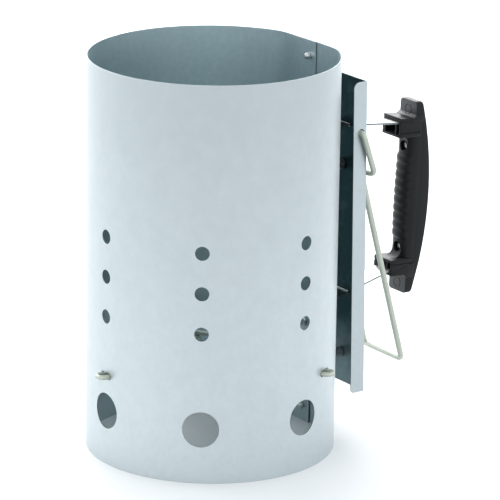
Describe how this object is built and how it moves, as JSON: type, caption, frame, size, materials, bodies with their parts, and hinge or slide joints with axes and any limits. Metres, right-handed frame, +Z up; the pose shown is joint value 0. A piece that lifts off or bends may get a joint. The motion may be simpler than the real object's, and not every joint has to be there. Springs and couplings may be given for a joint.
{
  "type": "chimney charcoal starter",
  "caption": "Open sheet-metal cylinder with vent holes, a wire grate inside, a heat shield, a strap handle with a plastic grip and a hinged wire bail.",
  "frame": {"origin": "middle of the footprint (the bounding box's plan centre), on the surface that the starter stands on", "axes": "+Z up along the cylinder, +X from the cylinder towards the handle, Y across the handle"},
  "size_m": [0.2976, 0.1867, 0.3],
  "materials": {
    "galvanised_sheet": "galvanised sheet steel, light bluish grey with a fine spangle, satin",
    "plated_wire": "zinc plated steel wire, pale and slightly green",
    "plated_strip": "bright zinc plated steel strip",
    "zinc_fastener": "bright zinc plated fastener",
    "black_plastic": "black moulded heat-resistant plastic, satin"
  },
  "bodies": {
    "starter": {"cylinder_body": "galvanised_sheet", "heat_shield": "galvanised_sheet", "grate_hairpin_rear": "plated_wire", "grate_hairpin_left": "plated_wire", "grate_hairpin_right": "plated_wire", "grate_ring_centre": "plated_wire", "grate_ring_middle": "plated_wire", "grate_ring_outer": "plated_wire", "handle_strap": "plated_strip", "shield_spacer_upper": "zinc_fastener", "shield_spacer_lower": "zinc_fastener", "shield_bolt_upper": "zinc_fastener", "shield_bolt_lower": "zinc_fastener", "shield_nut_upper": "zinc_fastener", "shield_nut_lower": "zinc_fastener", "strap_bolt_upper": "zinc_fastener", "strap_bolt_lower": "zinc_fastener", "strap_nut_upper": "zinc_fastener", "strap_nut_lower": "zinc_fastener", "seam_rivet_upper": "zinc_fastener", "seam_rivet_lower": "zinc_fastener", "handle_screw_upper": "zinc_fastener", "handle_screw_lower": "zinc_fastener", "handle_outer_shell": "black_plastic", "handle_inner_grip": "black_plastic"},
    "bail": {"bail": "plated_wire"}
  },
  "joints": [
    {"name": "bail_swing", "type": "hinge", "parent": "starter", "child": "bail", "pos_m": [0.06707, 0, 0.23125], "axis": [0, -1, 0], "range_deg": [0, 145]}
  ]
}
